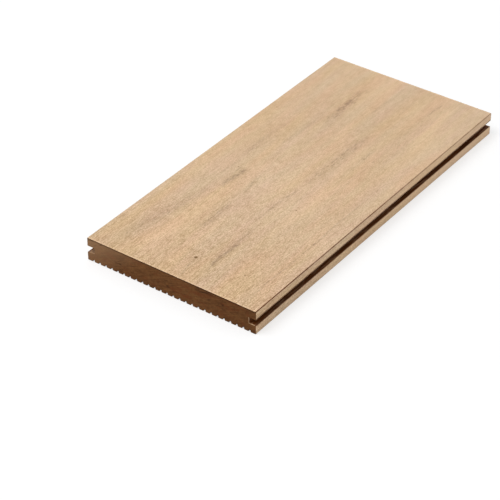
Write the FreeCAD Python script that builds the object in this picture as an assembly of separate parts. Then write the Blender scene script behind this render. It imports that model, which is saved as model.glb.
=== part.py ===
import FreeCAD, Part
import math
import os

# Decking board: one solid extruded length of wood-plastic composite, sawn square
# at both ends. The upper face is plain, the underside is ribbed, and a slot along
# each long edge takes the hidden fixing clips.
# X runs across the width, Y along the length, Z up. The origin is under the middle
# of the board, on the plane of the rib crests that it lies on.

# Overall size in millimetres
board_width = 140.0
board_thickness = 18.0
board_length = 300.0

# Rounding left by the die along the four long arrises
upper_arris_radius = 0.4
lower_arris_radius = 0.4

# Clip slots, centred in the thickness because the board can be laid either face up
slot_height = 5.0
slot_depth = 6.0
slot_mouth_radius = 0.4
slot_corner_radius = 0.4

# Ribbed underside
groove_pitch = 5.2
groove_width = 1.9
groove_depth = 1.5
groove_wall_draft = 6.0
groove_floor_radius = 0.45
rib_crest_radius = 0.2
edge_land_minimum = 3.0

# Places worked out from the sizes above
half_width = board_width / 2
slot_floor_z = (board_thickness - slot_height) / 2
slot_roof_z = slot_floor_z + slot_height
slot_wall_x = half_width - slot_depth
groove_floor_width = groove_width - 2 * groove_depth * math.tan(math.radians(groove_wall_draft))

# Neighbouring roundings may use up to this share of the straight run between them
run_share = 0.48


def groove_centres():
    """X of every groove's middle, as many as leave the smallest land at each edge."""
    span = board_width - 2 * edge_land_minimum - groove_width
    count = int(span // groove_pitch) + 1
    first = -(count - 1) * groove_pitch / 2
    return [first + step * groove_pitch for step in range(count)]


def underside_corners():
    """Corners of the ribbed underside from left to right, each with its rounding."""
    corners = []
    for centre in groove_centres():
        mouth = groove_width / 2
        floor = groove_floor_width / 2
        corners += [
            (centre - mouth, 0.0, rib_crest_radius),
            (centre - floor, groove_depth, groove_floor_radius),
            (centre + floor, groove_depth, groove_floor_radius),
            (centre + mouth, 0.0, rib_crest_radius),
        ]
    return corners


def right_edge_corners():
    """Corners of the right-hand edge from the underside to the upper face."""
    return [
        (half_width, 0.0, lower_arris_radius),
        (half_width, slot_floor_z, slot_mouth_radius),
        (slot_wall_x, slot_floor_z, slot_corner_radius),
        (slot_wall_x, slot_roof_z, slot_corner_radius),
        (half_width, slot_roof_z, slot_mouth_radius),
        (half_width, board_thickness, upper_arris_radius),
    ]


def section_corners():
    """The whole cross-section, anticlockwise from the lower left arris."""
    right = right_edge_corners()
    left = [(-x, z, radius) for x, z, radius in reversed(right)]
    return left[-1:] + underside_corners() + right + left[:-1]


def rounded_corner(before, corner, after):
    """The start, middle and end of the arc that rounds one corner of the section."""
    point = FreeCAD.Vector(corner[0], 0, corner[1])
    back = FreeCAD.Vector(before[0], 0, before[1]) - point
    ahead = FreeCAD.Vector(after[0], 0, after[1]) - point
    half_angle = back.getAngle(ahead) / 2
    room = run_share * min(back.Length, ahead.Length)
    setback = min(corner[2] / math.tan(half_angle), room)
    radius = setback * math.tan(half_angle)
    back.normalize()
    ahead.normalize()
    inward = back + ahead
    inward.normalize()
    middle = point + inward * (radius / math.sin(half_angle) - radius)
    return point + back * setback, middle, point + ahead * setback


def section_face():
    """Cross-section as one flat face in the plane of the near end."""
    corners = section_corners()
    count = len(corners)
    arcs = [
        rounded_corner(corners[step - 1], corners[step], corners[(step + 1) % count])
        for step in range(count)
    ]
    edges = []
    for step, (start, middle, end) in enumerate(arcs):
        next_start = arcs[(step + 1) % count][0]
        edges.append(Part.Arc(start, middle, end).toShape())
        edges.append(Part.LineSegment(end, next_start).toShape())
    return Part.Face(Part.Wire(edges))


def decking_board():
    """The section drawn out along the board's length, centred on the origin."""
    near_end = section_face()
    near_end.translate(FreeCAD.Vector(0, -board_length / 2, 0))
    return near_end.extrude(FreeCAD.Vector(0, board_length, 0))


os.makedirs("parts", exist_ok=True)
decking_board().exportStep("parts/decking_board.step")
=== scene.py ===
import math

import bmesh
import bpy
from mathutils import Matrix, Vector, noise
from mathutils.geometry import delaunay_2d_cdt


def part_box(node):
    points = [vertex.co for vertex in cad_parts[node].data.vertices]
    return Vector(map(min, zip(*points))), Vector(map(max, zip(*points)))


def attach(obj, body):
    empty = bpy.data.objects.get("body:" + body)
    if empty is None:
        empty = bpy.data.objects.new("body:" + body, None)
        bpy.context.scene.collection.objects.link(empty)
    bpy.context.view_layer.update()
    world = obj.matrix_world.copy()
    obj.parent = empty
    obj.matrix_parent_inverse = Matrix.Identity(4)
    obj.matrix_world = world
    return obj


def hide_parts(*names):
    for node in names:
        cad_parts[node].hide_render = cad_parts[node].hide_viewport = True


# Looks of the decking board. The visible piece takes its section from the CAD solid and
# adds the fine relief and the colours of the brushed faces and of the sawn ends.
# X runs across the width, Y along the length from the near end to the far one, Z up.

MM = 0.001
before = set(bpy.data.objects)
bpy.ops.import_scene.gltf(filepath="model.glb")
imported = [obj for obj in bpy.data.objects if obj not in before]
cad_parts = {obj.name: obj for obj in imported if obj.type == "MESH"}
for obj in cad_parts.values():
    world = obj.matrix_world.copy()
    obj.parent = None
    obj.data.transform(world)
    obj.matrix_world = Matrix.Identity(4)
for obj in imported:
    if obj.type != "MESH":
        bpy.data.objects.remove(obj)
bpy.context.view_layer.update()

# The board's own sizes, read from the frame
NODE = "decking_board"
board_low, board_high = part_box(NODE)
HALF_WIDTH = board_high.x
TOP = board_high.z
NEAR_END = board_low.y
FAR_END = board_high.y

# How finely the board is divided: the outline's largest error, the length of its edges
# on the plain face and elsewhere, the step from one outline to the next along the board,
# and on a sawn end the step between points and how far they keep from the rim. Edges
# with a larger angle than the last one are shaded sharp.
OUTLINE_TOLERANCE = 0.02 * MM
FACE_STEP = 0.55 * MM
LIP_STEP = 0.8 * MM
STATION_STEP = 3.2 * MM
CAP_STEP = 1.15 * MM
CAP_MARGIN = 0.45 * CAP_STEP
SHARP_ANGLE = math.radians(40)

# Added outlines: their distances from a sawn end, and their places over a pit in shares
# of its diameter, with no other outline closer to its middle than the last share
END_OFFSETS = (0.12 * MM, 0.9 * MM, 1.8 * MM)
PIT_OFFSETS = (-0.7, -0.35, 0.0, 0.35, 0.7)
PIT_CLEARANCE = 0.9

# Relief of the brushed faces: depths, and the sizes of the noise in them, given across
# and along the board
BRUSH_DEPTH = 0.035 * MM
BRUSH_CELL = (0.9 * MM, 34 * MM)
SWELL_DEPTH = 0.03 * MM
SWELL_CELL = (5.5 * MM, 90 * MM)
STREAK_DEPTH = 0.06 * MM
STREAK_CELL = (0.8 * MM, 9 * MM)
PIT_DEPTH = 0.40 * MM

# Relief of the sawn ends: the saw's round marks, the waver in them, and their centre,
# which is the blade's middle, beside the board's middle and below its underside. Then
# the crumbs, and the arris that the saw has chipped, with the widths of its least and its
# larger chips, the lengths of small and of rare larger chips, and the step in the noise
# that gives each end chips of its own.
SAW_DEPTH = 0.05 * MM
SAW_MARK = 0.55 * MM
SAW_WAVER = 20 * MM
BLADE_X = 30 * MM
BLADE_Z = -110 * MM
CRUMB = 1.7 * MM
ARRIS_CHIP = (0.02 * MM, 0.15 * MM)
CHIP_CELL = 1.6 * MM
RARE_CHIP_CELL = 4.5 * MM
END_STEP = 40

# The die's dark skin, as a share from 0 to 1. It is whole in the slots and the grooves.
# The brush has only grazed the long arrises, the strip of the plain face beside the right
# one, and the slots' lower mouths, where the steep part is paler than the level one.
# What is grazed is darker at the near end than at the far one.
ARRIS_BAND = 0.45 * MM
ARRIS_STRIP = 0.3 * MM
ARRIS_SKIN = 0.75
STEEP_MOUTH_SKIN = 0.15
LEVEL_MOUTH_SKIN = 0.60
GRAZED_NEAR = 1.35
GRAZED_FAR = 0.65

# Darker strip on the side face, just above each slot, given nearly the whole skin colour
LIP_EDGE = 0.60 * MM
LIP_EDGE_SKIN = 0.95

# Painted light inside a slot by the sawn ends, standing for light that reaches in from the open end: the
# share of skin left there, and the distances from the end between which it grows to the whole
LEFT_SLOT_LIGHT = (0.50, 2.0 * MM, 8.0 * MM)
RIGHT_SLOT_LIGHT = (0.30, 0.7 * MM, 1.5 * MM)

# Marks of the plain face: middle from the left edge and from the near end, length,
# width and slant in millimetres, then strength. A positive slant leans to the left.
DARK_STREAKS = [
    (47.0, 245, 66, 11.0, 4, 0.60),
    (46.0, 246, 30, 6.0, 1, 0.90),
    (86.5, 42, 80, 9.0, 7, 0.50),
    (87.0, 40, 40, 4.4, 2, 0.95),
    (83.5, 180, 86, 10.0, 0, 0.50),
    (82.7, 184, 36, 4.6, 1, 0.62),
    (80.5, 107, 55, 2.8, -2, 0.55),
    (24.0, 58, 96, 11.0, -15, 0.46),
    (36.0, 118, 30, 6.6, -2, 0.80),
    (32.5, 125, 18, 2.4, -3, 0.50),
    (54.0, 71, 40, 7.0, 0, 0.60),
    (53.7, 82, 18, 3.0, 1, 0.60),
    (51.5, 119, 26, 4.0, 4, 0.55),
    (24.5, 175, 66, 6.0, 0, 0.40),
    (26.0, 126, 30, 3.0, 0, 0.45),
    (107.0, 230, 136, 18.0, 6, 0.30),
    (104.0, 277, 26, 4.0, 1, 0.55),
    (97.5, 197, 20, 5.0, 0, 0.40),
    (127.6, 90, 186, 1.8, 1, 0.55),
    (70.0, 268, 60, 3.0, 0, 0.35),
    (75.0, 12, 26, 1.8, 1, 0.55),
    (99.0, 25, 52, 2.2, 1, 0.35),
    (86.5, 260, 50, 3.0, 1, 0.30),
    (89.5, 125, 14, 2.4, 1, 0.45),
    (40.0, 200, 60, 4.0, -4, 0.35),
]
PALE_GLOWS = [
    (40.0, 62, 112, 13.0, -5, 0.9),
    (46.0, 128, 50, 12.0, 0, 0.5),
    (64.5, 217, 34, 8.0, 0, 0.8),
    (92.0, 180, 52, 7.0, 2, 0.7),
    (100.0, 120, 66, 11.0, 0, 0.6),
    (62.0, 37, 80, 9.0, 0, 0.6),
    (115.0, 262, 54, 7.0, 2, 0.6),
    (105.0, 22, 48, 10.0, 2, 0.5),
    (60.0, 282, 44, 16.0, 0, 0.5),
    (69.0, 150, 60, 9.0, 0, 0.4),
    (118.0, 75, 70, 10.0, 0, 0.35),
]

# How far a mark's middle line wanders to the sides, and over what length. Beyond the
# reach, a share of its length to either side of its middle, a mark has faded out.
MARK_WANDER = 1.6 * MM
MARK_WANDER_LENGTH = 16 * MM
MARK_REACH = 0.6

# Small pits of the plain face: place and diameter in millimetres. A pit's wall stands
# between two shares of its radius, with the flat bottom inside it.
PIT_WALL = (0.6, 1.2)
PITS = [
    (72.6, 25.6, 2.8),
    (95.4, 110.0, 1.0),
    (97.6, 192.0, 0.9),
    (111.0, 28.0, 1.1),
    (31.0, 131.0, 0.9),
]

# Light and dark of the brushed faces, each layer with its cells per metre across and
# along, then its detail and weight
SPECKLE = [
    (1300, 780, 1.0, 1.04),
    (620, 220, 0.0, 0.36),
]
GRAIN = [
    (900, 40, 0.0, 0.10),
    (340, 150, 0.0, 0.15),
    (205, 110, 1.0, 0.10),
    (82, 28, 1.0, 0.145),
    (36, 9, 0.0, 0.15),
]
STROKES = [
    (1050, 80, 1.0, 1.00),
]

# The speckle's strength at both ends, and at the left edge and from the middle rightwards
SPECKLE_NEAR = 1.22
SPECKLE_FAR = 0.30
SPECKLE_LEFT = 0.84
SPECKLE_RIGHT = 1.08

# The brush's thin dark strokes: the range of their noise that shows, how much darker they
# are, and the share of that which is left from the middle of the length onwards
STROKE_RANGE = (0.04, 0.20)
STROKE_WEIGHT = 0.28
STROKE_FAR = 0.1

# Where the brushed colour lies between its dark and its pale one, and how far the dark
# streaks and the pale glows move it
MEAN_TONE = 0.515
STREAK_WEIGHT = 0.19
GLOW_WEIGHT = 0.12

# Tints that the brushed colour is multiplied with: in patches, towards the far end, where the side
# face's tint is painted light, and on the plain face in a rim along the sawn ends, a painted highlight,
# with its width and its soft inner edge
WARM_TINT = (1.0, 0.966, 0.905, 1.0)
COOL_TINT = (0.975, 0.980, 1.0, 1.0)
ROSY_TINT = (1.0, 0.970, 0.985, 1.0)
GREEN_TINT = (0.986, 1.0, 0.975, 1.0)
FAR_TOP_TINT = (1.012, 1.024, 1.045, 1.0)
SIDE_PAINTED_LIGHT = (1.12, 1.13, 1.15, 1.0)
EDGE_HIGHLIGHT_TINT = (1.15, 1.15, 1.16, 1.0)
END_RIM = 0.9 * MM
END_RIM_FADE = 0.4 * MM

# How far below the plain face the side face's tint, painted light, begins and is whole
SIDE_TINT_START = 0.3 * MM
SIDE_TINT_WHOLE = 0.5 * MM

# Slants of the cracks and of the saw's scratches on the sawn ends, and the dark band
# under the upper arris: the depths where it is whole and where it ends
CRACK_SLANT = math.radians(12)
SCRATCH_SLANT = math.radians(25)
DARK_BAND = (0.4 * MM, 1.3 * MM)

# Heights that the shaders' small bumps stand for
BRUSHED_BUMP = 0.12 * MM
SAWN_BUMP = 0.15 * MM

# The photograph's camera, fitted to the board's corners in its 500 by 500 frame
PHOTO_SIDE = 500
FOCAL_PIXELS = 1946.6
SENSOR_WIDTH = 36
AZIMUTH = math.radians(35.503)
ELEVATION = math.radians(35.735)
ROLL = math.radians(0.401)
SHIFT_RIGHT = -34.23 * MM
SHIFT_UP = -40.52 * MM
DISTANCE = 1388.2 * MM

# Light: the world's strength as light, the lamp, and the floor with its reach to each
# side, which reflects light on the board as one grey, and is seen as another with a glow
# of its own
WORLD_STRENGTH = 0.62
LAMP_PLACE = (-0.90, -1.10, 3.00)
LAMP_SIZE = 1.8
LAMP_WATTS = 49
FLOOR_REACH = 12.0
FLOOR_BOUNCE = 0.86
FLOOR_SHOWN = 0.42
FLOOR_LIFT = 0.62


def linear(red, green, blue):
    """A colour read off as 0 to 255 on a screen, as the shaders take it."""
    def channel(value):
        value /= 255
        return value / 12.92 if value <= 0.04045 else ((value + 0.055) / 1.055) ** 2.4
    return (channel(red), channel(green), channel(blue), 1.0)


# Colours of the brushed faces, of the die's skin and of the sawn ends
BRUSHED_DARK = linear(180, 148, 112)
BRUSHED_PALE = linear(242, 212, 178)
CRUMB_COLOUR = linear(142, 115, 92)
PIT_COLOUR = linear(126, 96, 58)
SKIN_DARK = linear(82, 38, 5)
SKIN_PALE = linear(112, 60, 16)
SAWN_DARK = linear(70, 38, 14)
SAWN_PALE = linear(129, 87, 49)
SAWN_RED = linear(104, 55, 26)
SCRATCH_COLOUR = linear(136, 97, 60)
# The sawn end's paler colour towards its upper left corner is painted light.
CORNER_LIGHT_COLOUR = linear(164, 129, 96)
CRACK_COLOUR = linear(46, 24, 9)
DARK_BAND_COLOUR = linear(44, 22, 3)


def cad_section(node):
    """The node's cross-section at its near end: an ordered loop of (x, z) points."""
    bm = bmesh.new()
    bm.from_mesh(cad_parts[node].data)
    bmesh.ops.remove_doubles(bm, verts=bm.verts, dist=1e-7)
    near = [
        edge for edge in bm.edges
        if all(abs(vert.co.y - NEAR_END) < 1e-6 for vert in edge.verts)
        and sum(abs(face.normal.y) > 0.9 for face in edge.link_faces) == 1
    ]
    neighbours = {}
    for edge in near:
        a, b = edge.verts
        neighbours.setdefault(a, []).append(b)
        neighbours.setdefault(b, []).append(a)
    start = min(neighbours, key=lambda vert: (vert.co.x, vert.co.z))
    loop = [start]
    previous, current = None, start
    while True:
        following = next(v for v in neighbours[current] if v is not previous)
        if following is start:
            break
        loop.append(following)
        previous, current = current, following
    points = [Vector((vert.co.x, vert.co.z)) for vert in loop]
    bm.free()
    area = sum(a.cross(b) for a, b in zip(points, points[1:] + points[:1]))
    return points if area > 0 else points[::-1]


def thinned(points, tolerance):
    """A run of points with those left out that lie on the straight between others."""
    if len(points) < 3:
        return points
    start, end = points[0], points[-1]
    along = (end - start).normalized()
    distances = [abs((point - start).cross(along)) for point in points[1:-1]]
    worst = max(range(len(distances)), key=distances.__getitem__)
    if distances[worst] < tolerance:
        return [start, end]
    split = worst + 1
    return thinned(points[:split + 1], tolerance)[:-1] + thinned(points[split:], tolerance)


def is_brushed(a, b):
    """True where an outline edge lies on a face that the brush reached."""
    flat = 2 * OUTLINE_TOLERANCE
    on_top = min(a.y, b.y) > TOP - flat
    on_rib = max(a.y, b.y) < flat
    on_side = min(abs(a.x), abs(b.x)) > HALF_WIDTH - flat
    return on_top or on_rib or on_side


def on_upper_lip(a, b):
    """True for an outline edge on the side face above a slot."""
    upright = abs(a.x - b.x) < 0.1 * OUTLINE_TOLERANCE
    return is_brushed(a, b) and upright and min(a.y, b.y) > TOP / 2


def skin_share(a, b):
    """How much of the die's dark skin is left on an outline edge, from 0 to 1."""
    middle = (a + b) / 2
    if is_brushed(a, b):
        if on_upper_lip(a, b) and (a - b).length < 1.1 * LIP_EDGE:
            return LIP_EDGE_SKIN
        by_arris = HALF_WIDTH - middle.x < ARRIS_BAND + ARRIS_STRIP and middle.y > TOP - ARRIS_BAND
        return ARRIS_SKIN if by_arris else 0.0
    if HALF_WIDTH - abs(middle.x) > ARRIS_BAND:
        return 1.0
    if min(middle.y, TOP - middle.y) < ARRIS_BAND:
        return ARRIS_SKIN
    if middle.y > TOP / 2:
        return 1.0
    steep = abs(a.x - b.x) < abs(a.y - b.y)
    return STEEP_MOUTH_SKIN if steep else LEVEL_MOUTH_SKIN


def in_slot(a, b):
    """True for an outline edge inside one of the clip slots."""
    outer = max(abs(a.x), abs(b.x)) > HALF_WIDTH - ARRIS_BAND
    return not outer and 0.25 * TOP < min(a.y, b.y) and max(a.y, b.y) < 0.75 * TOP


def slot_share_under_end_light(y, end_light):
    """How much of a slot's skin is left at a place along the board: less near its ends, as painted
    light.
    """
    from_end = min(y - NEAR_END, FAR_END - y)
    least, low, high = end_light
    return least + (1 - least) * smooth((from_end - low) / (high - low))


def grazed_factor(y):
    """How dark the grazed skin is at a place along the board."""
    by_length = (y - NEAR_END) / (FAR_END - NEAR_END)
    return GRAZED_NEAR + (GRAZED_FAR - GRAZED_NEAR) * by_length


def divided_outline(loop):
    """The closed outline with its straight runs divided, and the strips of skin cut off."""
    middle = len(loop) // 2
    first_half = thinned(loop[:middle + 1], OUTLINE_TOLERANCE)[:-1]
    second_half = thinned(loop[middle:] + loop[:1], OUTLINE_TOLERANCE)[:-1]
    loop = first_half + second_half
    outline = []
    for a, b in zip(loop, loop[1:] + loop[:1]):
        on_top = min(a.y, b.y) > TOP - OUTLINE_TOLERANCE
        step = FACE_STEP if on_top else LIP_STEP
        length = (b - a).length
        count = max(1, round(length / step))
        shares = [part / count for part in range(count)]
        if on_upper_lip(a, b) and a.y < b.y:
            shares[1] = LIP_EDGE / length
        elif on_upper_lip(a, b):
            shares[-1] = 1 - LIP_EDGE / length
        elif on_top and count > 2:
            shares[1] = ARRIS_STRIP / length
        outline += [a.lerp(b, share) for share in shares]
    return outline


def outward_normals(outline):
    """Outward direction in the section at each outline point."""
    normals = []
    for index, point in enumerate(outline):
        before = (point - outline[index - 1]).normalized()
        after = (outline[(index + 1) % len(outline)] - point).normalized()
        along = (before + after).normalized()
        normals.append(Vector((along.y, -along.x)))
    return normals


def runs_along(outline):
    """Distance round the outline at each of its points."""
    runs = [0.0]
    for a, b in zip(outline, outline[1:]):
        runs.append(runs[-1] + (b - a).length)
    return runs


def smooth(value):
    """A soft step from 0 to 1."""
    value = min(1.0, max(0.0, value))
    return value * value * (3 - 2 * value)


def cell_noise(across, along, cell, layer):
    """Smooth noise from about -1 to 1, in cells with a size across and along."""
    return noise.noise((across / cell[0], along / cell[1], layer))


def mark_strength(marks, x, y):
    """How strongly listed marks show at a place. Each fades to its ends and sides."""
    strength = 0.0
    for left, near, length, width, slant, power in marks:
        along = (y - (NEAR_END + near * MM)) / (length * MM)
        if abs(along) > MARK_REACH:
            continue
        wander = MARK_WANDER * noise.noise((left, y / MARK_WANDER_LENGTH, 0.5))
        middle = -HALF_WIDTH + left * MM - slant * MM * along + wander
        across = (x - middle) / (width * MM)
        fade = smooth(1 - abs(1.8 * along) ** 3) * smooth(1.1 - abs(1.7 * across))
        strength = max(strength, power * fade)
    return strength


def pit_strength(x, y):
    """Depth share of the small pits of the plain face at a place."""
    inner, outer = PIT_WALL
    strength = 0.0
    for left, near, diameter in PITS:
        across = x - (-HALF_WIDTH + left * MM)
        along = y - (NEAR_END + near * MM)
        distance = math.hypot(across, along) / (diameter * MM / 2)
        strength = max(strength, smooth((outer - distance) / (outer - inner)))
    return strength


def brushed_depth(run, x, y, on_top):
    """How far the brushed surface lies under the flat face at a place."""
    fine = cell_noise(run, y, BRUSH_CELL, 3.1)
    coarse = cell_noise(run, y, SWELL_CELL, 8.7)
    depth = BRUSH_DEPTH * max(0.0, fine) + SWELL_DEPTH * max(0.0, 0.5 + 0.5 * coarse)
    if on_top:
        ragged = 0.7 + 0.6 * cell_noise(x, y, STREAK_CELL, 1.7)
        depth += STREAK_DEPTH * mark_strength(DARK_STREAKS, x, y) * ragged
        depth += PIT_DEPTH * pit_strength(x, y)
    return depth


def chip_width(run, end):
    """Width broken off the sawn arris at a place on the outline."""
    low, high = ARRIS_CHIP
    ragged = noise.noise((run / CHIP_CELL, end * END_STEP, 5.5))
    rare = smooth(2.2 * noise.noise((run / RARE_CHIP_CELL, end * END_STEP, 2.5)) - 0.4)
    return low + (high - low) * max(0.0, 0.25 + 0.35 * ragged + 0.6 * rare)


def saw_depth(x, z, end):
    """How far the sawn end lies inside the square cut at a place."""
    reach = (Vector((x, z)) - Vector((BLADE_X * end, BLADE_Z))).length
    waver = 3 * noise.noise((x / SAW_WAVER, z / SAW_WAVER, 4.0))
    marks = 0.5 + 0.5 * math.sin(reach / SAW_MARK + waver)
    crumbs = noise.noise((x / CRUMB, z / CRUMB, 9.0 + end))
    return SAW_DEPTH * (0.45 * marks + 0.75 * max(0.0, crumbs))


def stations():
    """Places along the length where the outline is repeated, closer at ends and pits."""
    count = round((FAR_END - NEAR_END) / STATION_STEP)
    places = {NEAR_END + (FAR_END - NEAR_END) * step / count for step in range(1, count)}
    for offset in END_OFFSETS:
        places |= {NEAR_END + offset, FAR_END - offset}
    for left, near, diameter in PITS:
        middle = NEAR_END + near * MM
        over_pit = {middle + share * diameter * MM for share in PIT_OFFSETS}
        clear = {y for y in places if abs(y - middle) > PIT_CLEARANCE * diameter * MM}
        places = clear | over_pit
    return sorted(places)


def inside(place, rim):
    """True if a place lies within the closed rim."""
    odd = False
    for a, b in zip(rim, rim[1:] + rim[:1]):
        if (a.y > place.y) != (b.y > place.y):
            if place.x < a.x + (b.x - a.x) * (place.y - a.y) / (b.y - a.y):
                odd = not odd
    return odd


def clear_of(place, rim, margin):
    """True if a place keeps its distance from every point of the rim."""
    return all(
        abs(point.x - place.x) > margin or abs(point.y - place.y) > margin for point in rim
    )


def cap_points(rim):
    """Points spread over the sawn end inside its rim, in staggered rows."""
    points = []
    rows = round(TOP / CAP_STEP)
    columns = round(2 * HALF_WIDTH / CAP_STEP)
    for row in range(1, rows):
        z = TOP * row / rows
        for column in range(columns):
            x = -HALF_WIDTH + 2 * HALF_WIDTH * (column + 0.5 * (row % 2)) / columns
            place = Vector((x, z))
            if inside(place, rim) and clear_of(place, rim, CAP_MARGIN):
                points.append(place)
    return points


class BoardMesh:
    """The board as one closed mesh: the extruded surface and two sawn ends."""

    def __init__(self, outline):
        self.outline = outline
        self.normals = outward_normals(outline)
        self.runs = runs_along(outline)
        edges = list(zip(outline, outline[1:] + outline[:1]))
        self.brushed = [is_brushed(a, b) for a, b in edges]
        self.skins = [skin_share(a, b) for a, b in edges]
        self.slotted = [in_slot(a, b) for a, b in edges]
        self.mesh = bmesh.new()
        self.skin = self.mesh.faces.layers.float.new("skin")
        self.streak = self.mesh.verts.layers.float.new("streak")
        self.glow = self.mesh.verts.layers.float.new("glow")
        self.pit = self.mesh.verts.layers.float.new("pit")

    def build(self):
        """Lays the outlines along the board, joins them and closes both ends."""
        rings = [self.end_rim(NEAR_END, 1)]
        rings += [self.ring(y) for y in stations()]
        rings.append(self.end_rim(FAR_END, -1))
        for near, far in zip(rings, rings[1:]):
            self.join(near, far, near is rings[0] or far is rings[-1])
        self.close_end(rings[0], 1)
        self.close_end(rings[-1], -1)
        bmesh.ops.recalc_face_normals(self.mesh, faces=self.mesh.faces)
        for face in self.mesh.faces:
            face.smooth = True
        return self.mesh

    def ring(self, y):
        """One outline with the brushed relief, and the strength of the marks there."""
        verts = []
        for index, point in enumerate(self.outline):
            on_face = self.brushed[index] and self.brushed[index - 1]
            on_top = on_face and point.y > TOP - OUTLINE_TOLERANCE
            depth = brushed_depth(self.runs[index], point.x, y, on_top) if on_face else 0.0
            place = point - self.normals[index] * depth
            vert = self.mesh.verts.new((place.x, y, place.y))
            if on_top:
                vert[self.streak] = mark_strength(DARK_STREAKS, point.x, y)
                vert[self.glow] = mark_strength(PALE_GLOWS, point.x, y)
                vert[self.pit] = pit_strength(point.x, y)
            verts.append(vert)
        return verts

    def end_rim(self, y, end):
        """The outline at a sawn end, drawn in where the saw has chipped the arris."""
        verts = []
        for index, point in enumerate(self.outline):
            place = point - self.normals[index] * chip_width(self.runs[index], end)
            verts.append(self.mesh.verts.new((place.x, y, place.y)))
        return verts

    def join(self, near, far, at_end):
        """Faces from one outline to the next, each with its share of skin, thinned in the slots near the
        sawn ends as painted light.
        """
        middle = (near[0].co.y + far[0].co.y) / 2
        left_end_light = slot_share_under_end_light(middle, LEFT_SLOT_LIGHT)
        right_end_light = slot_share_under_end_light(middle, RIGHT_SLOT_LIGHT)
        grazed = grazed_factor(middle)
        for index in range(len(near)):
            following = (index + 1) % len(near)
            corners = (near[index], near[following], far[following], far[index])
            face = self.mesh.faces.new(corners)
            face.material_index = 1 if at_end else 0
            face[self.skin] = self.skins[index]
            # Inside the slots, near the sawn ends, the skin is thinned as painted light from the open
            # ends.
            if self.slotted[index]:
                face[self.skin] *= left_end_light if self.outline[index].x < 0 else right_end_light
            elif 0 < self.skins[index] <= ARRIS_SKIN:
                face[self.skin] *= grazed

    def close_end(self, rim_verts, end):
        """Fills one sawn end with small triangles that carry the saw's marks."""
        rim = [Vector((vert.co.x, vert.co.z)) for vert in rim_verts]
        points = rim + cap_points(rim)
        edges = [(index, (index + 1) % len(rim)) for index in range(len(rim))]
        places, _, faces, origins, _, _ = delaunay_2d_cdt(points, edges, [], 1, 1e-9)
        y = rim_verts[0].co.y
        verts = []
        for place, sources in zip(places, origins):
            if sources and sources[0] < len(rim):
                verts.append(rim_verts[sources[0]])
            else:
                depth = saw_depth(place.x, place.y, end)
                verts.append(self.mesh.verts.new((place.x, y + end * depth, place.y)))
        for corners in faces:
            face = self.mesh.faces.new([verts[corner] for corner in corners])
            face.material_index = 1


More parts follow.
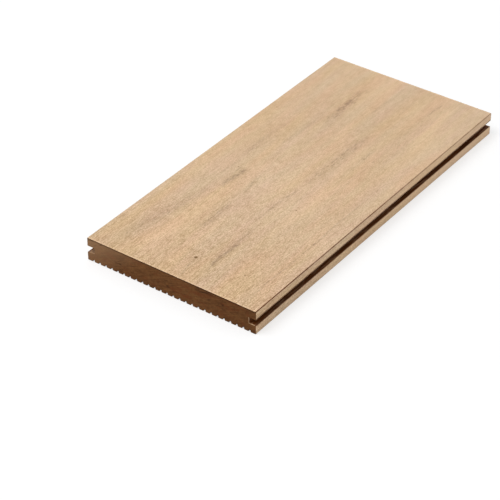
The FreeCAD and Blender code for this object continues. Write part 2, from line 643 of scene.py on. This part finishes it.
class Nodes:
    """A material's node tree with short calls for the nodes it needs."""

    def __init__(self, name):
        self.material = bpy.data.materials.new(name)
        self.material.use_nodes = True
        self.tree = self.material.node_tree
        self.shader = self.tree.nodes["Principled BSDF"]
        self.place = self.tree.nodes.new("ShaderNodeTexCoord").outputs["Object"]

    def link(self, source, target):
        """Joins an output to an input."""
        self.tree.links.new(source, target)

    def cells(self, place, scale, shift):
        """Coordinates multiplied by cells per metre, then shifted."""
        node = self.tree.nodes.new("ShaderNodeMapping")
        node.inputs["Scale"].default_value = scale
        node.inputs["Location"].default_value = shift
        self.link(place, node.inputs["Vector"])
        return node.outputs["Vector"]

    def stretched(self, scale, shift=(0, 0, 0), turn=0.0):
        """Object coordinates turned about Y, then in cells per metre."""
        place = self.place
        if turn:
            turned = self.tree.nodes.new("ShaderNodeVectorRotate")
            turned.rotation_type = "Y_AXIS"
            turned.inputs["Angle"].default_value = turn
            self.link(place, turned.inputs["Vector"])
            place = turned.outputs["Vector"]
        return self.cells(place, scale, shift)

    def unrolled(self):
        """Coordinates along the section's surface and along the length, as if laid flat."""
        node = self.tree.nodes.new("ShaderNodeCombineXYZ")
        self.link(self.math("ADD", self.place_along("X"), self.place_along("Z")), node.inputs["X"])
        self.link(self.place_along("Y"), node.inputs["Y"])
        return node.outputs["Vector"]

    def noise(self, vector, detail=2.0, roughness=0.5, distortion=0.0, dimensions="3D"):
        """Noise from 0 to 1 with one cell for each unit of the vector."""
        node = self.tree.nodes.new("ShaderNodeTexNoise")
        node.noise_dimensions = dimensions
        node.inputs["Scale"].default_value = 1.0
        node.inputs["Detail"].default_value = detail
        node.inputs["Roughness"].default_value = roughness
        node.inputs["Distortion"].default_value = distortion
        self.link(vector, node.inputs["Vector"])
        return node.outputs["Fac"]

    def weighted(self, total, value, weight):
        """A total with a noise added to it that is centred on 0 and weighted."""
        centred = self.math("SUBTRACT", value, 0.5)
        return self.math("ADD", total, self.math("MULTIPLY", centred, weight))

    def layered(self, layers):
        """A sum of noises around 0; each has cells per metre, detail and weight."""
        total = 0.0
        for index, (across, along, upright, detail, weight) in enumerate(layers):
            shift = (3.1 * index, 1.7 * index, 5.3 * index)
            value = self.noise(self.stretched((across, along, upright), shift), detail)
            total = self.weighted(total, value, weight)
        return total

    def grained(self, layers):
        """As layered, but on the unrolled surface: cells across and along, detail, weight."""
        place = self.unrolled()
        total = 0.0
        for index, (across, along, detail, weight) in enumerate(layers):
            vector = self.cells(place, (across, along, 1), (3.1 * index, 1.7 * index, 0))
            value = self.noise(vector, detail, dimensions="2D")
            total = self.weighted(total, value, weight)
        return total

    def ranged(self, value, low, high, to_low=0.0, to_high=1.0):
        """A value's range low to high spread over to_low to to_high, and clamped."""
        node = self.tree.nodes.new("ShaderNodeMapRange")
        node.inputs["From Min"].default_value = low
        node.inputs["From Max"].default_value = high
        node.inputs["To Min"].default_value = to_low
        node.inputs["To Max"].default_value = to_high
        self.link(value, node.inputs["Value"])
        return node.outputs["Result"]

    def math(self, operation, first, second):
        """A sum, difference or other operation on sockets or numbers."""
        node = self.tree.nodes.new("ShaderNodeMath")
        node.operation = operation
        for socket, value in zip(node.inputs, (first, second)):
            if isinstance(value, (int, float)):
                socket.default_value = value
            else:
                self.link(value, socket)
        return node.outputs["Value"]

    def mix(self, factor, first, second, blend="MIX"):
        """Colour first turning to second, or blended with it, by a factor."""
        node = self.tree.nodes.new("ShaderNodeMix")
        node.data_type = "RGBA"
        node.blend_type = blend
        sockets = (node.inputs["Factor"], node.inputs[6], node.inputs[7])
        for socket, value in zip(sockets, (factor, first, second)):
            if isinstance(value, (tuple, float)):
                socket.default_value = value
            else:
                self.link(value, socket)
        return node.outputs[2]

    def multiplied(self, colour, tint):
        """A colour multiplied with a tint."""
        return self.mix(1.0, colour, tint, "MULTIPLY")

    def place_along(self, axis):
        """Place along X, Y or Z in the board's own frame, in metres."""
        node = self.tree.nodes.new("ShaderNodeSeparateXYZ")
        self.link(self.place, node.inputs[0])
        return node.outputs[axis]

    def attribute(self, name):
        """A number that the mesh carries at each face or vertex."""
        node = self.tree.nodes.new("ShaderNodeAttribute")
        node.attribute_name = name
        return node.outputs["Fac"]

    def bump(self, height, distance, strength):
        """A normal bent by small heights."""
        node = self.tree.nodes.new("ShaderNodeBump")
        node.inputs["Distance"].default_value = distance
        node.inputs["Strength"].default_value = strength
        self.link(height, node.inputs["Height"])
        return node.outputs["Normal"]

    def finish(self, colour, roughness, normal):
        """The material, with its shader's inputs joined."""
        self.link(colour, self.shader.inputs["Base Color"])
        self.link(roughness, self.shader.inputs["Roughness"])
        self.link(normal, self.shader.inputs["Normal"])
        return self.material


def brushed_tone(nodes, streak, glow):
    """Light and dark of the brushed faces, from 0 to 1."""
    by_length = nodes.ranged(nodes.place_along("Y"), NEAR_END, FAR_END, SPECKLE_NEAR, SPECKLE_FAR)
    by_width = nodes.ranged(nodes.place_along("X"), -HALF_WIDTH, 0.0, SPECKLE_LEFT, SPECKLE_RIGHT)
    strength = nodes.math("MULTIPLY", by_length, by_width)
    speckle = nodes.math("MULTIPLY", nodes.grained(SPECKLE), strength)
    tone = nodes.math("ADD", nodes.math("ADD", nodes.grained(GRAIN), speckle), MEAN_TONE)
    low, high = STROKE_RANGE
    strokes = nodes.ranged(nodes.grained(STROKES), low, high, 0.0, STROKE_WEIGHT)
    stroke_fade = nodes.ranged(nodes.place_along("Y"), NEAR_END, 0.0, 1.0, STROKE_FAR)
    tone = nodes.math("SUBTRACT", tone, nodes.math("MULTIPLY", strokes, stroke_fade))
    tone = nodes.math("ADD", tone, nodes.math("MULTIPLY", glow, GLOW_WEIGHT))
    return nodes.math("SUBTRACT", tone, nodes.math("MULTIPLY", streak, STREAK_WEIGHT))


def patched(nodes, colour, streak, glow):
    """The colour in warmer and cooler, and in greener and rosier patches."""
    warmth = nodes.noise(nodes.stretched((75, 11, 75), (9, 3, 2)), 1.0)
    warmth = nodes.math("ADD", warmth, nodes.math("MULTIPLY", glow, -0.12))
    warmth = nodes.math("ADD", warmth, nodes.math("MULTIPLY", streak, 0.20))
    tint = nodes.mix(nodes.ranged(warmth, 0.32, 0.68), WARM_TINT, COOL_TINT)
    colour = nodes.multiplied(colour, tint)
    rosy = nodes.noise(nodes.stretched((130, 28, 130), (5, 8, 1)), 1.0)
    tint = nodes.mix(nodes.ranged(rosy, 0.34, 0.66), GREEN_TINT, ROSY_TINT)
    return nodes.multiplied(colour, tint)


def paler_outwards(nodes, colour):
    """The colour paler towards the far end, where on the side face it is painted light, and in a rim
    along the sawn ends as a painted highlight.
    """
    height = nodes.place_along("Z")
    aside = nodes.ranged(height, TOP - SIDE_TINT_WHOLE, TOP - SIDE_TINT_START, 1.0, 0.0)
    far = nodes.ranged(nodes.place_along("Y"), NEAR_END, FAR_END)
    # On the side face the far end's tint is painted light.
    far_tint_and_side_light = nodes.mix(aside, FAR_TOP_TINT, SIDE_PAINTED_LIGHT)
    colour = nodes.mix(far, colour, nodes.multiplied(colour, far_tint_and_side_light))
    from_middle = nodes.math("ABSOLUTE", nodes.place_along("Y"), 0.0)
    # Paler rim of the plain face along the sawn ends: a painted highlight.
    rim = nodes.ranged(from_middle, FAR_END - END_RIM - END_RIM_FADE, FAR_END - END_RIM)
    rim = nodes.math("SUBTRACT", rim, aside)
    return nodes.mix(rim, colour, nodes.multiplied(colour, EDGE_HIGHLIGHT_TINT))


def crumbled(nodes, colour, streak):
    """The colour with dark crumbs in the dark streaks."""
    crumbs = nodes.noise(nodes.stretched((900, 250, 900), (4, 4, 4)), 2.0, 0.6)
    crumbs = nodes.ranged(nodes.math("ADD", crumbs, nodes.math("MULTIPLY", streak, 0.30)), 0.62, 0.90)
    crumbs = nodes.math("MULTIPLY", crumbs, nodes.ranged(streak, 0.0, 0.5, 0.0, 0.60))
    return nodes.mix(crumbs, colour, CRUMB_COLOUR)


def brushed_colour(nodes):
    """Pale brushed composite: speckle, lengthwise grain, tints, streaks and pits."""
    streak = nodes.attribute("streak")
    glow = nodes.attribute("glow")
    colour = nodes.mix(brushed_tone(nodes, streak, glow), BRUSHED_DARK, BRUSHED_PALE)
    colour = patched(nodes, colour, streak, glow)
    colour = paler_outwards(nodes, colour)
    colour = crumbled(nodes, colour, streak)
    return nodes.mix(nodes.attribute("pit"), colour, PIT_COLOUR)


def skin_colour(nodes):
    """Dark skin that the die leaves where no brush reaches."""
    lines = nodes.noise(nodes.stretched((1500, 14, 1500)), 2.0)
    blotches = nodes.noise(nodes.stretched((260, 40, 260), (1, 5, 2)), 3.0, 0.6)
    tone = nodes.math("ADD", nodes.math("MULTIPLY", lines, 0.45), nodes.math("MULTIPLY", blotches, 0.55))
    return nodes.mix(nodes.ranged(tone, 0.35, 0.65), SKIN_DARK, SKIN_PALE)


def extruded_material():
    """The long surfaces: pale where brushed, dark where the skin is left."""
    nodes = Nodes("brushed_composite")
    nodes.shader.inputs["Specular IOR Level"].default_value = 0.2
    wear = nodes.noise(nodes.stretched((700, 90, 700), (6, 1, 8)), 2.0)
    skin = nodes.math("MULTIPLY", nodes.attribute("skin"), nodes.ranged(wear, 0.3, 0.7, 0.8, 1.2))
    colour = nodes.mix(skin, brushed_colour(nodes), skin_colour(nodes))

    grain = nodes.noise(nodes.stretched((1500, 130, 1500), (1, 2, 3)), 3.0, 0.65)
    speckle = nodes.noise(nodes.stretched((1300, 800, 1300), (7, 4, 9)), 2.0, 0.7)
    height = nodes.math("ADD", nodes.math("MULTIPLY", grain, 0.6), nodes.math("MULTIPLY", speckle, 0.4))
    normal = nodes.bump(height, BRUSHED_BUMP, 0.5)
    roughness = nodes.ranged(grain, 0.3, 0.7, 0.62, 0.78)
    return nodes.finish(colour, roughness, normal)


def sawn_tone(nodes):
    """Light and dark of the sawn ends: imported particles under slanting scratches."""
    particles = nodes.layered([
        (30, 30, 60, 1.0, 0.8),
        (150, 150, 260, 2.0, 0.55),
        (520, 520, 900, 2.0, 0.7),
    ])
    scratches = nodes.noise(nodes.stretched((90, 90, 1500), (2, 2, 2), SCRATCH_SLANT), 2.0)
    return nodes.math("ADD", nodes.weighted(particles, scratches, 0.8), 0.5)


def corner_painted_light(nodes):
    """How much paler the sawn end is towards its upper left corner, as painted light from the left."""
    lowered = nodes.math("MULTIPLY", nodes.place_along("Z"), 1.5)
    across = nodes.math("SUBTRACT", nodes.place_along("X"), lowered)
    return nodes.ranged(across, -1.42 * HALF_WIDTH, -0.64 * HALF_WIDTH, 0.70, 0.0)


def cracks(nodes):
    """Thin dark lines between the layers of particles, broken into short lengths."""
    waves = nodes.noise(nodes.stretched((26, 26, 260), (6, 4, 3), CRACK_SLANT), 1.0)
    off_line = nodes.math("ABSOLUTE", nodes.math("SUBTRACT", waves, 0.5), 0.0)
    broken = nodes.noise(nodes.stretched((110, 110, 110), (1, 7, 5)), 1.0)
    broken = nodes.ranged(broken, 0.53, 0.64, 0.0, 0.70)
    return nodes.math("MULTIPLY", nodes.ranged(off_line, 0.004, 0.020, 1.0, 0.0), broken)


def sawn_colour(nodes):
    """Brown of the sawn ends, with red and pale flecks, painted light towards the upper left corner,
    cracks and a dark band.
    """
    colour = nodes.mix(sawn_tone(nodes), SAWN_DARK, SAWN_PALE)
    red = nodes.noise(nodes.stretched((130, 130, 300), (8, 3, 1)), 2.0, 0.5, 0.6)
    colour = nodes.mix(nodes.ranged(red, 0.52, 0.70, 0.0, 0.6), colour, SAWN_RED)
    pale = nodes.noise(nodes.stretched((620, 620, 1500), (3, 9, 2), SCRATCH_SLANT), 1.0)
    colour = nodes.mix(nodes.ranged(pale, 0.66, 0.78, 0.0, 0.5), colour, SCRATCH_COLOUR)
    # Paler towards the upper left corner: painted light from the left.
    colour = nodes.mix(corner_painted_light(nodes), colour, CORNER_LIGHT_COLOUR)
    colour = nodes.mix(cracks(nodes), colour, CRACK_COLOUR)
    whole, ended = DARK_BAND
    band = nodes.ranged(nodes.place_along("Z"), TOP - ended, TOP - whole, 0.0, 0.6)
    return nodes.mix(band, colour, DARK_BAND_COLOUR)


def sawn_material():
    """Dark, crumbly and dull sawn end."""
    nodes = Nodes("sawn_end")
    nodes.shader.inputs["Specular IOR Level"].default_value = 0.1
    colour = sawn_colour(nodes)
    crumbs = nodes.noise(nodes.stretched((900, 900, 1300), (4, 2, 6)), 2.0, 0.65)
    normal = nodes.bump(crumbs, SAWN_BUMP, 0.55)
    roughness = nodes.ranged(crumbs, 0.3, 0.7, 0.7, 0.9)
    return nodes.finish(colour, roughness, normal)


def make_board():
    """The board's visible piece, in the place of the plain CAD solid."""
    mesh = BoardMesh(divided_outline(cad_section(NODE))).build()
    mesh.normal_update()
    data = bpy.data.meshes.new("board")
    mesh.to_mesh(data)
    mesh.free()
    data.set_sharp_from_angle(angle=SHARP_ANGLE)
    for material in (extruded_material(), sawn_material()):
        data.materials.append(material)
    board = bpy.data.objects.new("board", data)
    bpy.context.scene.collection.objects.link(board)
    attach(board, "root")
    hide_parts(NODE)


def floor_material():
    """Pale floor that looks white to the camera and keeps the board's shadow."""
    material = bpy.data.materials.new("floor")
    material.use_nodes = True
    tree = material.node_tree
    tree.nodes.clear()
    output = tree.nodes.new("ShaderNodeOutputMaterial")
    mix = tree.nodes.new("ShaderNodeMixShader")
    path = tree.nodes.new("ShaderNodeLightPath")
    plain = tree.nodes.new("ShaderNodeBsdfDiffuse")
    plain.inputs["Color"].default_value = (FLOOR_BOUNCE, FLOOR_BOUNCE, FLOOR_BOUNCE, 1)
    shown = tree.nodes.new("ShaderNodeAddShader")
    pale = tree.nodes.new("ShaderNodeBsdfDiffuse")
    pale.inputs["Color"].default_value = (FLOOR_SHOWN, FLOOR_SHOWN, FLOOR_SHOWN, 1)
    lift = tree.nodes.new("ShaderNodeEmission")
    lift.inputs["Strength"].default_value = FLOOR_LIFT
    tree.links.new(pale.outputs[0], shown.inputs[0])
    tree.links.new(lift.outputs[0], shown.inputs[1])
    tree.links.new(path.outputs["Is Camera Ray"], mix.inputs[0])
    tree.links.new(plain.outputs[0], mix.inputs[1])
    tree.links.new(shown.outputs[0], mix.inputs[2])
    tree.links.new(mix.outputs[0], output.inputs["Surface"])
    return material


def make_floor():
    """A wide level floor at the plane the board lies on."""
    data = bpy.data.meshes.new("floor")
    reach = FLOOR_REACH
    corners = [(-reach, -reach, 0), (reach, -reach, 0), (reach, reach, 0), (-reach, reach, 0)]
    data.from_pydata(corners, [], [(0, 1, 2, 3)])
    data.materials.append(floor_material())
    floor = bpy.data.objects.new("floor", data)
    bpy.context.scene.collection.objects.link(floor)


def make_world():
    """Even soft light from all round, shown white to the camera."""
    world = bpy.data.worlds.new("world")
    bpy.context.scene.world = world
    world.use_nodes = True
    tree = world.node_tree
    background = tree.nodes["Background"]
    path = tree.nodes.new("ShaderNodeLightPath")
    strength = tree.nodes.new("ShaderNodeMapRange")
    strength.inputs["To Min"].default_value = WORLD_STRENGTH
    strength.inputs["To Max"].default_value = 1.0
    tree.links.new(path.outputs["Is Camera Ray"], strength.inputs["Value"])
    tree.links.new(strength.outputs["Result"], background.inputs["Strength"])
    background.inputs["Color"].default_value = (1, 1, 1, 1)


def make_lamp():
    """A square soft lamp above and to the front left, aimed at the board's middle."""
    data = bpy.data.lights.new("overhead", "AREA")
    data.shape = "SQUARE"
    data.size = LAMP_SIZE
    data.energy = LAMP_WATTS
    lamp = bpy.data.objects.new("overhead", data)
    lamp.location = LAMP_PLACE
    lamp.rotation_mode = "QUATERNION"
    lamp.rotation_quaternion = Vector(LAMP_PLACE).to_track_quat("Z", "Y")
    bpy.context.scene.collection.objects.link(lamp)


def make_camera():
    """A camera at the photograph's viewing angle, distance and framing."""
    back = Vector((
        math.sin(AZIMUTH) * math.cos(ELEVATION),
        -math.cos(AZIMUTH) * math.cos(ELEVATION),
        math.sin(ELEVATION),
    ))
    right = Vector((math.cos(AZIMUTH), math.sin(AZIMUTH), 0))
    up = back.cross(right)
    data = bpy.data.cameras.new("camera")
    data.sensor_width = SENSOR_WIDTH
    data.lens = FOCAL_PIXELS * SENSOR_WIDTH / PHOTO_SIDE
    camera = bpy.data.objects.new("camera", data)
    place = right * SHIFT_RIGHT + up * SHIFT_UP + back * DISTANCE
    turn = Matrix((right, up, back)).transposed().to_4x4() @ Matrix.Rotation(ROLL, 4, "Z")
    camera.matrix_world = Matrix.Translation(place) @ turn
    bpy.context.scene.collection.objects.link(camera)
    bpy.context.scene.camera = camera


make_board()
make_floor()
make_world()
make_lamp()
make_camera()
bpy.context.scene.view_settings.view_transform = "Standard"

bpy.context.view_layer.update()
